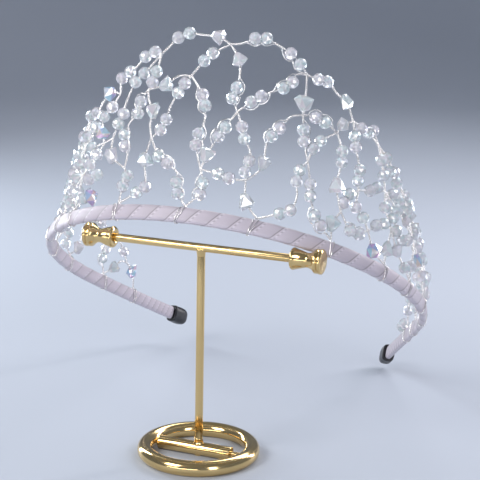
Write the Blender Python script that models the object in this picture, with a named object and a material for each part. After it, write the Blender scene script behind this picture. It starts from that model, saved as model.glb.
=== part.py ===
"""Bridal headband resting on a brass T-bar display stand.

Sizes are in millimetres until the mesh is made, and +Z is up. The front of the band faces -Y and
+X runs along the bar to the right. The origin is the centre of the base ring, on the table.
"""

import math

import bpy
from mathutils import Vector

MM = 0.001
GAP = 0.32
LOOP_GAP = 0.48

RING_RADIUS = 17.2
RING_TUBE = 2.5
RING_LIFT = 2.25
ROD_RADIUS = 1.3
CROSS_RADIUS = 2.15
CROSS_LEFT = 13.9
CROSS_RIGHT = 11.4
PEG_RADIUS = 0.8
BAR_HEIGHT = 68.75
BAR_HALF = 38.6
FINIAL_END = 40.2
FINIAL_LENGTH = 10.4

HOOP_RADIUS = 65.0
HOOP_SWEEP_LEFT = math.radians(111.3)
HOOP_SWEEP_RIGHT = math.radians(110.0)
HOOP_REACH = 182.0
HOOP_APEX = Vector((-0.95, -9.37, 80.64))
HOOP_YAW = math.radians(5.06)
HOOP_SLOPE = math.radians(32.7)
HOOP_ROLL = math.radians(-1.85)
HOOP_LIFT_LEFT = 4.07
HOOP_LIFT_RIGHT = 0.36
BULGE_RIGHT = 2.0
LEAN_LEFT = 2.9
BAND_HALF_WIDTH = 2.5
BAND_HALF_THICK = 1.25
CORE_HALF_WIDTH = 1.9
CORE_HALF_THICK = 0.75
CAP_LENGTH = 10.0
CAP_HALF_WIDTH = 3.3
CAP_HALF_THICK = 2.4

WIRE = 0.45
KNOT = 1.0
KNOT_REACH = 2.15
BEAD = 1.78
CHIP = 2.45

SHARP_ANGLE = math.radians(38)
UP = Vector((0, 0, 1))

# Colour, metallic and roughness.
MATERIALS = {
    "polished_brass": ((0.83, 0.6, 0.27), 1.0, 0.14),
    "satin_ribbon": ((0.66, 0.6, 0.68), 0.0, 0.38),
    "black_tip": ((0.02, 0.02, 0.022), 0.0, 0.4),
    "crystal_and_wire": ((0.82, 0.84, 0.88), 0.35, 0.1),
}

# Sections down a stone: shift along its wire, half width along the web, half depth, number of sides.
BEAD_SECTIONS = ((-1.5, 0.9, 0.9, 5), (0.0, 2.0, 2.0, 10), (1.5, 0.9, 0.9, 5))
CHIP_SECTIONS = ((-2.2, 0.7, 0.7, 5), (-1.4, 1.7, 1.2, 10), (1.2, 2.6, 1.6, 10), (2.2, 0.7, 0.7, 5))
LONG_RUN = 3.6

# Distance from the bar's end inward, and radius, down a finial.
FINIAL_PROFILE = (
    (0.0, 3.5),
    (0.25, 3.9),
    (0.9, 3.9),
    (1.2, 3.5),
    (1.5, 3.75),
    (2.4, 3.75),
    (2.8, 3.3),
    (4.9, 2.25),
    (10.1, 3.5),
    (10.4, 3.1),
)

# Where the web's feet loop round the hoop: millimetres along it from the middle, + to the right.
FEET = {
    "f_a": -148.0,
    "f_b": -130.0,
    "f_c": -107.5,
    "f_d": -91.0,
    "f_e": -73.0,
    "f_f": -56.5,
    "f_g": -47.5,
    "f_h": -25.0,
    "f_i": -1.0,
    "f_j": 21.5,
    "f_k": 45.8,
    "f_l": 68.0,
    "f_m": 84.0,
    "f_n": 100.0,
    "f_o": 116.0,
    "f_p": 131.0,
    "f_q": 143.0,
}

# Where wires are twisted together: along the hoop, and height up the web.
KNOTS = {
    "arm_low": (-142.0, 8.7),
    "arm_mid": (-136.5, 14.5),
    "arm_mid_b": (-129.0, 17.5),
    "arm_high": (-113.5, 13.5),
    "back_low": (-100.0, 12.0),
    "side_a": (-88.0, 11.0),
    "side_b": (-72.0, 11.0),
    "side_c": (-58.0, 11.5),
    "side_d": (-81.0, 22.5),
    "side_e": (-65.5, 22.0),
    "side_f": (-73.0, 30.0),
    "left_low": (-47.0, 11.0),
    "left_mid": (-37.5, 20.3),
    "left_in": (-50.0, 21.0),
    "left_up": (-57.0, 31.0),
    "left_top": (-36.4, 35.5),
    "front_a": (-20.0, 45.3),
    "front_b": (-21.7, 34.8),
    "front_c": (-33.4, 21.2),
    "front_d": (-24.8, 11.2),
    "mid_a": (-15.9, 20.2),
    "mid_b": (-4.0, 38.7),
    "mid_c": (3.1, 11.9),
    "mid_d": (11.0, 49.3),
    "mid_e": (14.7, 30.4),
    "mid_f": (17.8, 10.9),
    "right_a": (44.9, 48.8),
    "right_b": (40.0, 35.7),
    "right_c": (39.6, 22.0),
    "right_d": (50.5, 10.5),
    "right_e": (60.0, 20.2),
    "right_f": (61.7, 8.5),
    "right_g": (66.4, 43.3),
    "right_h": (54.6, 35.4),
    "flank_a": (80.5, 42.0),
    "flank_b": (75.5, 25.5),
    "flank_c": (74.5, 13.5),
    "flank_d": (92.0, 33.0),
    "flank_e": (89.0, 17.5),
    "flank_f": (104.0, 28.5),
    "flank_g": (103.0, 12.5),
    "flank_h": (117.0, 21.0),
    "flank_i": (129.0, 11.5),
}

B = "bead"
C = "chip"
W = "bend"

# Each strand: its two ends, then its beads, chips and bends, each along the hoop and up the web.
WEB = {
    "web_left_arm": (
        ("f_a", "arm_low", (C, -146.0, 6.3)),
        ("arm_low", "f_b", (W, -138.6, 8.2), (C, -135.3, 4.6)),
        ("arm_low", "arm_mid", (B, -139.2, 12.3)),
        ("f_b", "arm_mid_b", (B, -128.3, 6.0), (B, -129.3, 10.2), (W, -129.3, 13.5)),
        ("arm_mid", "arm_mid_b", (W, -133.0, 17.0)),
        ("arm_mid_b", "arm_high", (B, -123.5, 18.5), (B, -118.7, 17.0)),
        ("f_c", "arm_high", (C, -113.0, 4.9)),
    ),
    "web_left_side": (
        ("f_d", "side_a", (B, -90.0, 5.6)),
        ("f_e", "side_b", (B, -73.2, 5.4)),
        ("f_f", "side_c", (B, -57.2, 5.6)),
        ("side_a", "side_b", (B, -82.5, 9.3), (B, -77.5, 9.6)),
        ("side_b", "side_c", (B, -67.0, 10.0), (B, -62.5, 11.5)),
        ("side_a", "side_d", (B, -87.0, 17.0)),
        ("side_c", "side_e", (B, -60.7, 16.5)),
        ("side_d", "side_e", (B, -77.0, 20.5), (B, -71.5, 21.5)),
        ("side_d", "side_f", (B, -78.5, 26.4)),
        ("side_e", "side_f", (B, -67.5, 26.4)),
        ("side_a", "back_low", (B, -95.0, 10.0)),
        ("side_d", "back_low", (B, -89.5, 23.5), (B, -95.5, 20.0)),
        ("side_f", "side_f", (B, -77.2, 32.0), (W, -81.2, 32.6)),
    ),
    "web_left_front": (
        ("f_g", "left_low", (B, -47.2, 5.6)),
        ("left_low", "left_in", (B, -51.0, 16.0)),
        ("left_low", "left_low", (B, -42.0, 9.4), (B, -37.4, 10.2)),
        ("left_low", "left_mid", (B, -43.2, 14.2), (B, -40.3, 17.0)),
        ("left_mid", "left_in", (B, -44.8, 20.0)),
        ("left_in", "left_up", (B, -55.0, 25.7)),
        ("left_mid", "left_top", (C, -40.3, 24.0), (B, -38.9, 31.6)),
        ("left_top", "left_up", (C, -44.2, 37.0), (B, -49.7, 32.6)),
        ("left_in", "left_in", (B, -46.4, 26.8)),
    ),
    "web_front_left": (
        ("f_h", "front_d", (B, -24.2, 5.7), (B, -22.9, 8.7)),
        (
            "front_d", "front_b",
            (W, -24.6, 15.2), (B, -26.6, 18.4), (B, -27.8, 21.4), (W, -26.6, 25.4),
            (B, -23.8, 27.9), (B, -23.9, 31.4),
        ),
        ("f_h", "mid_a", (B, -18.4, 3.6), (B, -15.3, 5.4), (C, -17.0, 13.6)),
        ("mid_a", "front_b", (W, -17.5, 24.3), (C, -17.4, 28.3), (W, -20.4, 31.8)),
        ("front_b", "front_a", (B, -20.7, 37.0), (B, -20.0, 39.9)),
        (
            "front_a", "left_top",
            (B, -23.6, 46.3), (B, -28.4, 45.4), (W, -31.4, 43.0), (B, -34.8, 41.9),
            (B, -39.0, 40.6),
        ),
        (
            "front_a", "front_c",
            (B, -26.0, 40.2), (B, -29.6, 37.9), (W, -31.4, 31.2), (B, -31.0, 28.4),
            (B, -32.4, 25.5),
        ),
        ("front_c", "front_d", (C, -32.0, 15.6)),
        ("front_c", "left_mid"),
    ),
    "web_front_middle": (
        (
            "front_a", "mid_d",
            (W, -16.8, 47.4), (B, -13.6, 49.9), (B, -8.4, 51.1), (W, -3.0, 50.8), (C, 5.2, 50.7),
        ),
        (
            "f_i", "mid_a",
            (B, -3.9, 4.1), (B, -4.6, 7.2), (W, -4.9, 10.4), (B, -8.4, 12.7), (B, -12.0, 14.6),
        ),
        (
            "mid_a", "mid_b",
            (B, -12.7, 22.6), (B, -11.2, 25.7), (W, -10.6, 29.2), (B, -8.3, 33.6), (B, -6.3, 36.4),
        ),
        ("mid_b", "mid_d", (B, 0.4, 43.4), (B, 3.6, 45.8)),
        ("f_i", "mid_c", (B, 3.5, 4.7), (B, 4.2, 7.8)),
        (
            "mid_c", "mid_b",
            (B, 0.8, 18.9), (B, 1.4, 22.2), (W, 3.1, 26.2), (B, 2.9, 30.6), (B, 1.5, 33.6),
        ),
        ("mid_b", "front_b", (W, -9.4, 38.5), (C, -14.2, 36.0)),
        ("mid_c", "mid_e", (C, 4.9, 16.4), (B, 8.4, 22.2), (B, 10.8, 25.2)),
        ("mid_d", "mid_e", (C, 14.9, 45.6), (W, 15.3, 41.0), (B, 14.2, 37.2), (B, 12.7, 34.0)),
        (
            "mid_e", "mid_f",
            (B, 16.4, 26.3), (B, 17.3, 23.1), (W, 19.2, 19.9), (B, 18.9, 16.7), (B, 17.7, 13.5),
        ),
        ("mid_c", "mid_f", (B, 9.0, 11.3), (B, 12.5, 10.6)),
        ("mid_f", "f_j", (C, 18.0, 4.7)),
    ),
    "web_front_right": (
        (
            "mid_d", "right_a",
            (W, 16.0, 50.3), (B, 22.0, 53.0), (B, 27.4, 54.3), (W, 32.8, 53.6), (B, 38.4, 53.0),
            (B, 42.6, 51.2),
        ),
        (
            "mid_e", "right_a",
            (B, 19.8, 34.2), (B, 23.6, 36.6), (W, 28.5, 39.2), (B, 33.0, 41.4), (B, 37.1, 44.2),
            (W, 40.2, 47.5),
        ),
        (
            "mid_f", "right_b",
            (W, 21.6, 14.0), (C, 23.8, 17.2), (W, 24.8, 22.6), (B, 27.1, 26.0), (B, 29.9, 28.8),
            (W, 34.6, 33.4),
        ),
        (
            "f_j", "right_c",
            (B, 28.6, 3.6), (B, 32.3, 5.6), (W, 34.6, 10.0), (B, 34.9, 15.0), (B, 36.2, 18.2),
        ),
        ("right_c", "right_b", (B, 38.8, 27.6), (B, 39.2, 31.1)),
        ("right_b", "right_a", (C, 41.2, 39.4), (W, 43.0, 43.8)),
        ("right_b", "right_h", (B, 45.4, 36.6), (B, 49.4, 36.5)),
        ("right_h", "right_g", (C, 58.4, 39.0)),
        ("right_c", "right_h", (B, 42.7, 26.9), (B, 45.5, 29.6)),
        ("f_k", "right_c", (B, 42.3, 4.0), (B, 40.6, 6.3), (B, 39.4, 11.7), (B, 39.7, 15.3)),
        ("f_k", "right_d", (C, 46.7, 5.8)),
        ("right_d", "right_h", (C, 50.1, 18.2), (B, 54.2, 26.6), (B, 55.2, 30.1)),
        ("right_d", "right_e", (B, 52.6, 14.2), (B, 55.0, 17.0)),
        ("right_d", "right_f", (B, 53.6, 5.9), (B, 57.2, 6.0)),
        ("right_f", "right_e", (B, 60.2, 12.0), (B, 57.4, 14.2)),
        ("right_e", "right_g", (B, 60.9, 23.7), (B, 62.6, 26.9), (B, 63.4, 34.6), (B, 64.6, 37.9)),
        ("right_a", "right_g", (B, 50.8, 49.6), (B, 56.0, 50.9), (W, 60.8, 48.8), (C, 65.8, 49.0)),
    ),
    "web_right_side": (
        ("f_l", "flank_c", (C, 70.5, 5.9)),
        ("right_f", "flank_c", (B, 66.8, 12.0), (B, 70.5, 13.8)),
        ("right_e", "flank_b", (B, 67.0, 22.8), (B, 70.5, 24.8)),
        ("flank_c", "flank_b", (B, 73.3, 20.0)),
        ("right_g", "flank_a", (B, 71.2, 43.2), (B, 75.4, 43.6)),
        ("flank_a", "flank_b", (B, 79.2, 36.8), (B, 77.3, 31.3)),
        ("flank_a", "flank_d", (B, 85.0, 40.0), (B, 88.8, 37.0)),
        ("flank_b", "flank_e", (B, 81.0, 22.3)),
        ("flank_c", "flank_e", (B, 80.0, 12.3), (B, 84.2, 13.8)),
        ("flank_d", "flank_e", (B, 90.8, 25.3)),
        ("f_m", "flank_e", (B, 84.8, 5.6), (W, 87.0, 11.0)),
    ),
    "web_right_arm": (
        ("flank_d", "flank_f", (B, 96.0, 32.5), (B, 100.0, 31.3)),
        ("flank_e", "flank_g", (B, 94.0, 15.0), (B, 98.2, 13.2)),
        ("f_n", "flank_g", (B, 101.0, 6.0)),
        ("flank_f", "flank_h", (C, 110.3, 26.0)),
        ("flank_g", "flank_h", (B, 108.5, 15.6)),
        ("f_o", "flank_h", (B, 116.2, 6.0), (B, 116.8, 13.0)),
        ("flank_h", "flank_i", (B, 121.4, 17.3), (B, 125.0, 14.6)),
        ("f_p", "flank_i", (B, 130.5, 5.2)),
        ("flank_i", "f_q", (B, 134.5, 9.0), (B, 138.5, 6.0)),
    ),
}


def empty_scene():
    for thing in list(bpy.data.objects):
        bpy.data.objects.remove(thing, do_unlink=True)


def make_object(name, points, faces):
    """A mesh object from points in millimetres."""
    mesh = bpy.data.meshes.new(name)
    mesh.from_pydata([tuple(p * MM for p in point) for point in points], [], faces)
    mesh.validate()
    mesh.shade_smooth()
    mesh.set_sharp_from_angle(angle=SHARP_ANGLE)
    thing = bpy.data.objects.new(name, mesh)
    bpy.context.scene.collection.objects.link(thing)
    return thing


def paint(thing, name):
    """Gives the object its Principled material, made the first time it is asked for."""
    material = bpy.data.materials.get(name) or bpy.data.materials.new(name)
    colour, metallic, roughness = MATERIALS[name]
    material.use_nodes = True
    surface = material.node_tree.nodes["Principled BSDF"]
    surface.inputs["Base Color"].default_value = (*colour, 1)
    surface.inputs["Metallic"].default_value = metallic
    surface.inputs["Roughness"].default_value = roughness
    thing.data.materials.append(material)
    return thing


def group_under(name, things):
    """An empty at the origin that holds the pieces of one half of the object."""
    holder = bpy.data.objects.new(name, None)
    bpy.context.scene.collection.objects.link(holder)
    for thing in things:
        thing.parent = holder


def hide_cutter(thing):
    thing.hide_render = True
    thing.display_type = "WIRE"
    return thing


def add_boolean(thing, other, operation, self_cross=False):
    change = thing.modifiers.new(operation.lower(), "BOOLEAN")
    change.operation = operation
    change.solver = "EXACT"
    change.use_self = self_cross
    change.object = other
    return change


def bridge(faces, first, first_count, second, second_count):
    """Faces between two rings of points, where the counts are equal or one is double the other."""
    if first_count == second_count:
        for k in range(first_count):
            n = (k + 1) % first_count
            faces.append((first + k, first + n, second + n, second + k))
        return
    flip = first_count > second_count
    small, large, few, many = (first, second, first_count, second_count)
    if flip:
        small, large, few, many = (second, first, second_count, first_count)
    for k in range(few):
        n = (k + 1) % few
        fan = (
            (small + k, large + 2 * k, large + (2 * k - 1) % many),
            (small + k, large + 2 * k + 1, large + 2 * k),
            (small + k, small + n, large + 2 * k + 1),
        )
        for face in fan:
            faces.append(tuple(reversed(face)) if flip else face)


def ring_of(centre, across, along_wall, half_across, half_wall, count):
    """Points of an oval section; across and along_wall are its unit axes."""
    points = []
    for k in range(count):
        turn = 2 * math.pi * k / count
        offset = across * (half_across * math.cos(turn)) + along_wall * (half_wall * math.sin(turn))
        points.append(centre + offset)
    return points


def skin_rings(rings):
    """Points and faces of a closed shell through a list of rings."""
    points = []
    faces = []
    starts = []
    for ring in rings:
        starts.append(len(points))
        points.extend(ring)
    for k in range(len(rings) - 1):
        bridge(faces, starts[k], len(rings[k]), starts[k + 1], len(rings[k + 1]))
    faces.append(tuple(reversed(range(len(rings[0])))))
    last = starts[-1]
    faces.append(tuple(range(last, last + len(rings[-1]))))
    return points, faces


def turn_profile(profile, count, origin, axis, side):
    """A closed profile of (along the axis, radius) turned into a solid; side is any unit vector across."""
    other = axis.cross(side)
    points = []
    starts = []
    for along, radius in profile:
        starts.append(len(points))
        if radius < 1e-6:
            points.append(origin + axis * along)
            continue
        for k in range(count):
            turn = 2 * math.pi * k / count
            offset = side * (radius * math.cos(turn)) + other * (radius * math.sin(turn))
            points.append(origin + axis * along + offset)
    faces = []
    for k in range(len(profile) - 1):
        first, second = starts[k], starts[k + 1]
        for m in range(count):
            n = (m + 1) % count
            if profile[k][1] < 1e-6:
                faces.append((first, second + n, second + m))
            elif profile[k + 1][1] < 1e-6:
                faces.append((first + m, first + n, second))
            else:
                faces.append((first + m, first + n, second + n, second + m))
    return points, faces


def rod(name, start, end, radius, count):
    start, end = Vector(start), Vector(end)
    axis = (end - start).normalized()
    side = axis.orthogonal().normalized()
    length = (end - start).length
    profile = ((0, 0), (0, radius), (length, radius), (length, 0))
    return make_object(name, *outward(turn_profile(profile, count, start, axis, side)))


def hoop_frame():
    """Unit axes of the hoop: to the right, from the front towards the tips, and square to its plane."""
    level = Vector((math.cos(HOOP_YAW), math.sin(HOOP_YAW), 0))
    rear = Vector((-math.sin(HOOP_YAW), math.cos(HOOP_YAW), 0))
    right = level * math.cos(HOOP_ROLL) + UP * math.sin(HOOP_ROLL)
    over = right.cross(rear)
    back = rear * math.cos(HOOP_SLOPE) - over * math.sin(HOOP_SLOPE)
    return right, back, right.cross(back)


def hoop_at(s):
    """Point on the hoop's middle line at s along it, its direction, and the direction inward."""
    right, back, square = hoop_frame()
    far = abs(s)
    sweep = HOOP_SWEEP_LEFT if s < 0 else HOOP_SWEEP_RIGHT
    turn = min(far / HOOP_RADIUS, sweep)
    straight = max(far - HOOP_RADIUS * sweep, 0)
    x = HOOP_RADIUS * math.sin(turn) + straight * math.cos(turn)
    y = HOOP_RADIUS * (1 - math.cos(turn)) + straight * math.sin(turn)
    sign = -1 if s < 0 else 1
    lift = (HOOP_LIFT_LEFT if s < 0 else HOOP_LIFT_RIGHT) * max((far - 60) / 120, 0) ** 2
    point = HOOP_APEX + right * (sign * x) + back * y + square * lift
    along = right * math.cos(turn) + back * (sign * math.sin(turn))
    return point, along, square.cross(along)


def wall_at(s, height):
    """Point of the web above the hoop: it stands upright and leans in more the higher it goes."""
    point, along, inward = hoop_at(s)
    level = (inward - UP * inward.dot(UP)).normalized()
    lean = 0.18 * height + 0.003 * height * abs(height)
    reach = min(max((s - 68.0) / 20.0, 0), 1) * min(max((140.0 - s) / 15.0, 0), 1)
    lean -= BULGE_RIGHT * reach * min(max(height / 10.0, 0), 1)
    reach = min(max((-55.0 - s) / 8.0, 0), 1) * min(max((s + 104.0) / 8.0, 0), 1)
    lean += LEAN_LEFT * reach * min(max(height / 5.0, 0), 1)
    return point + hoop_frame()[2] * BAND_HALF_WIDTH + UP * height + level * lean


def wall_out(s):
    """Level direction out of the web at s."""
    inward = hoop_at(s)[2]
    return -(inward - UP * inward.dot(UP)).normalized()


def foot_at(s):
    """Centre of a foot's wire where it crosses the top edge of the hoop."""
    return hoop_at(s)[0] + hoop_frame()[2] * (BAND_HALF_WIDTH + LOOP_GAP + WIRE)


def band_section(s, half_width, half_thick, count):
    """Rounded section of the hoop at s."""
    point, along, inward = hoop_at(s)
    square = hoop_frame()[2]
    ring = []
    for k in range(count):
        turn = 2 * math.pi * (k + 0.5) / count
        wide, thick = math.cos(turn), math.sin(turn)
        reach = (abs(wide) ** 3.2 + abs(thick) ** 3.2) ** (-1 / 3.2)
        ring.append(point + square * (half_width * wide * reach) + inward * (half_thick * thick * reach))
    return ring


def hoop_stations(first, last, step):
    count = max(1, round((last - first) / step))
    return [first + (last - first) * k / count for k in range(count + 1)]


def ribbon_band():
    """The ribbon-covered hoop; its bare core runs on into the end tips."""
    end = HOOP_REACH - CAP_LENGTH + 0.8
    core_end = HOOP_REACH - 1.6
    rings = [band_section(-core_end, CORE_HALF_WIDTH, CORE_HALF_THICK, 10)]
    rings.append(band_section(-end - 0.2, CORE_HALF_WIDTH, CORE_HALF_THICK, 10))
    for s in hoop_stations(-end, end, 8.2):
        rings.append(band_section(s, BAND_HALF_WIDTH, BAND_HALF_THICK, 10))
    rings.append(band_section(end + 0.2, CORE_HALF_WIDTH, CORE_HALF_THICK, 10))
    rings.append(band_section(core_end, CORE_HALF_WIDTH, CORE_HALF_THICK, 10))
    return paint(make_object("ribbon_band", *outward(skin_rings(rings))), "satin_ribbon")


def tip_cap(name, sign):
    """A hollow cap over one end of the hoop, rounded at its closed end."""
    start = HOOP_REACH - CAP_LENGTH + 1.3
    outer = [(start, 0.9), (start + 1.0, 1.0), (HOOP_REACH - 2.2, 1.0)]
    outer.extend([(HOOP_REACH - 0.6, 0.82), (HOOP_REACH, 0.45)])
    rings = [band_section(sign * s, CAP_HALF_WIDTH * size, CAP_HALF_THICK * size, 10) for s, size in outer]
    room = GAP + 0.04
    for s in (HOOP_REACH - 1.2, start):
        rings.append(band_section(sign * s, CORE_HALF_WIDTH + room, CORE_HALF_THICK + room, 10))
    points = []
    faces = []
    for ring in rings:
        points.extend(ring)
    outer_last = 4 * 10
    inner_first = 5 * 10
    for k in range(4):
        bridge(faces, k * 10, 10, (k + 1) * 10, 10)
    bridge(faces, inner_first, 10, inner_first + 10, 10)
    bridge(faces, inner_first + 10, 10, 0, 10)
    faces.append(tuple(range(outer_last, outer_last + 10)))
    faces.append(tuple(reversed(range(inner_first, inner_first + 10))))
    return paint(make_object(name, *outward((points, faces))), "black_tip")


def base_ring_mesh():
    """The base ring, with a flat facet all round its underside."""
    sides, count = 10, 32
    flat = math.sqrt(RING_TUBE ** 2 - RING_LIFT ** 2)
    section = [(-flat, 0.0), (flat, 0.0)]
    start = math.atan2(-RING_LIFT, flat)
    sweep = 2 * math.pi - 2 * math.asin(flat / RING_TUBE)
    for k in range(1, sides):
        turn = start + sweep * k / sides
        section.append((RING_TUBE * math.cos(turn), RING_LIFT + RING_TUBE * math.sin(turn)))
    points = []
    for k in range(count):
        turn = 2 * math.pi * (k + 0.5) / count
        for out, height in section:
            reach = RING_RADIUS + out
            points.append(Vector((reach * math.cos(turn), reach * math.sin(turn), height)))
    faces = []
    width = len(section)
    for k in range(count):
        first, second = k * width, ((k + 1) % count) * width
        for m in range(width):
            n = (m + 1) % width
            faces.append((first + m, second + m, second + n, first + n))
    return make_object("stand_frame", *outward((points, faces)))


def stand_frame():
    """Base ring, cross rod, post and bar, soldered into one."""
    frame = base_ring_mesh()
    z = RING_LIFT
    cross = rod("cut_cross", (-CROSS_LEFT, 0, z), (CROSS_RIGHT, 0, z), CROSS_RADIUS, 14)
    peg = rod("cut_peg", (-RING_RADIUS, 0, z), (RING_RADIUS, 0, z), PEG_RADIUS, 8)
    post = rod("cut_post", (0, 0, 0), (0, 0, BAR_HEIGHT), ROD_RADIUS, 12)
    bar = rod("cut_bar", (-BAR_HALF, 0, BAR_HEIGHT), (BAR_HALF, 0, BAR_HEIGHT), ROD_RADIUS, 12)
    for piece in (peg, cross, post, bar):
        hide_cutter(piece)
        add_boolean(frame, piece, "UNION")
    return paint(frame, "polished_brass")


def finial(name, sign):
    """A turned spool with a blind bore that takes the end of the bar."""
    bore = ROD_RADIUS + GAP + 0.04
    depth = FINIAL_END - BAR_HALF - GAP
    profile = [(0.0, 0.0)]
    profile.extend(FINIAL_PROFILE)
    profile.extend(((FINIAL_LENGTH, bore), (depth, bore), (depth, 0.0)))
    turned = make_object(name, *outward(turn_profile(profile, 14, Vector(), Vector((-sign, 0, 0)), UP)))
    turned.location = (sign * FINIAL_END * MM, 0, BAR_HEIGHT * MM)
    return paint(turned, "polished_brass")


def spread(points, sizes):
    """Pushes a strand's stones apart until they no longer run into each other."""
    for _ in range(60):
        for k in range(len(points) - 1):
            need = sizes[k] + sizes[k + 1]
            between = points[k + 1] - points[k]
            short = need - between.length
            if short <= 0 or between.length < 1e-6:
                continue
            push = between.normalized() * short
            first_fixed = k == 0
            last_fixed = k + 1 == len(points) - 1
            if first_fixed and last_fixed:
                continue
            if first_fixed:
                points[k + 1] = points[k + 1] + push
            elif last_fixed:
                points[k] = points[k] - push
            else:
                points[k + 1] = points[k + 1] + push * 0.5
                points[k] = points[k] - push * 0.5


def strand_rings(points, kinds, outs):
    """Sections along a strand: a thin wire that swells into its beads and chips."""
    rings = []
    last = len(points) - 1
    for k, (point, kind, out) in enumerate(zip(points, kinds, outs)):
        before = points[max(k - 1, 0)]
        after = points[min(k + 1, last)]
        axis = after - before
        if 0 < k < last:
            axis = (point - before).normalized() + (after - point).normalized()
        axis.normalize()
        side = out.cross(axis).normalized()
        wall = axis.cross(side)
        if kind == W:
            radius = WIRE if 0 < k < last else WIRE * 0.75
            rings.append(ring_of(point, side, wall, radius, radius, 5))
            continue
        sections = BEAD_SECTIONS if kind == B else CHIP_SECTIONS
        half = sections[-1][0]
        if kinds[k - 1] == W and (point - before).length > half + LONG_RUN:
            rings.append(ring_of(point - axis * (half + 0.15), side, wall, WIRE, WIRE, 5))
        for shift, wide, thick, count in sections:
            rings.append(ring_of(point + axis * shift, side, wall, wide, thick, count))
        if k == last:
            continue
        run = (after - point).length
        if kinds[k + 1] == W:
            if run > half + LONG_RUN:
                rings.append(ring_of(point + axis * (half + 0.15), side, wall, WIRE, WIRE, 5))
            continue
        bare = run - half - (BEAD_SECTIONS if kinds[k + 1] == B else CHIP_SECTIONS)[-1][0]
        if bare > 0.9:
            middle = point + (after - point) * ((half + bare / 2) / run)
            rings.append(ring_of(middle, side, wall, WIRE, WIRE, 5))
    return rings


def join_strands(name, runs, owner):
    """Joins strands that run straight on through a knot, so that a long wire passes through it."""
    chains = []
    holder = {}
    meets = {}
    for index, (ends, points, kinds, outs) in enumerate(runs):
        chain = [[(index, 0), (index, 1)], points, kinds, outs]
        chains.append(chain)
        for place in (0, 1):
            holder[(index, place)] = chain
            end = ends[place]
            if end in KNOTS and owner[end] == name:
                inner = points[1] if place == 0 else points[-2]
                heading = (inner - points[-place]).normalized()
                meets.setdefault(end, []).append(((index, place), heading))
    links = []
    for end, arrivals in meets.items():
        for k, (tag, heading) in enumerate(arrivals):
            for other_tag, other_heading in arrivals[k + 1:]:
                links.append((heading.dot(other_heading), tag, other_tag, end))
    joined = set()
    passed = set()
    for straight, tag, other_tag, end in sorted(links, key=lambda link: link[0]):
        first, second = holder[tag], holder[other_tag]
        if straight > -0.2 or tag in joined or other_tag in joined or first is second:
            continue
        joined.update((tag, other_tag))
        passed.add(end)
        if first[0][0] == tag:
            first = [part[::-1] for part in first]
        if second[0][1] == other_tag:
            second = [part[::-1] for part in second]
        chain = [[first[0][0], second[0][1]]] + [one + two[1:] for one, two in zip(first[1:], second[1:])]
        chains = [kept for kept in chains if kept is not holder[tag] and kept is not holder[other_tag]]
        chains.append(chain)
        for free in chain[0]:
            holder[free] = chain
    return chains, passed


def foot_loop(s):
    """A turn of wire round the hoop, with clearance."""
    point, along, inward = hoop_at(s)
    square = hoop_frame()[2]
    count = 8
    wide, thick = BAND_HALF_WIDTH + LOOP_GAP + WIRE, BAND_HALF_THICK + LOOP_GAP + WIRE
    points = []
    for k in range(count):
        turn = 2 * math.pi * k / count
        up, over = math.cos(turn), math.sin(turn)
        reach = (abs(up) ** 3.0 + abs(over) ** 3.0) ** (-1 / 3.0)
        centre = point + square * (wide * up * reach) + inward * (thick * over * reach)
        outward = (square * (up / wide) + inward * (over / thick)).normalized()
        points.extend(ring_of(centre, outward, along, WIRE, WIRE, 5))
    faces = []
    for k in range(count):
        first, second = k * 5, ((k + 1) % count) * 5
        for m in range(5):
            n = (m + 1) % 5
            faces.append((first + m, first + n, second + n, second + m))
    return points, faces


def knot_shell(centre, out):
    """A small eight-sided lump where twists of wire meet."""
    side = out.cross(UP).normalized()
    over = side.cross(out)
    corners = [side, out, -side, -out, over, -over]
    points = [centre + corner * KNOT for corner in corners]
    faces = []
    for k in range(4):
        n = (k + 1) % 4
        faces.append((k, n, 4))
        faces.append((n, k, 5))
    return points, faces


def gather(shells):
    points = []
    faces = []
    for shell_points, shell_faces in shells:
        start = len(points)
        points.extend(shell_points)
        faces.extend(tuple(start + index for index in face) for face in shell_faces)
    return points, faces


def signed_volume(points, faces):
    total = 0.0
    for face in faces:
        for k in range(1, len(face) - 1):
            total += points[face[0]].dot(points[face[k]].cross(points[face[k + 1]]))
    return total


def outward(shell):
    """The same shell, with its faces turned outward if they point in."""
    points, faces = shell
    if signed_volume(points, faces) < 0:
        faces = [tuple(reversed(face)) for face in faces]
    return points, faces


def end_point(name):
    return foot_at(FEET[name]) if name in FEET else wall_at(*KNOTS[name])


def end_place(name):
    """How far along the hoop a foot or knot is."""
    return FEET[name] if name in FEET else KNOTS[name][0]


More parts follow.
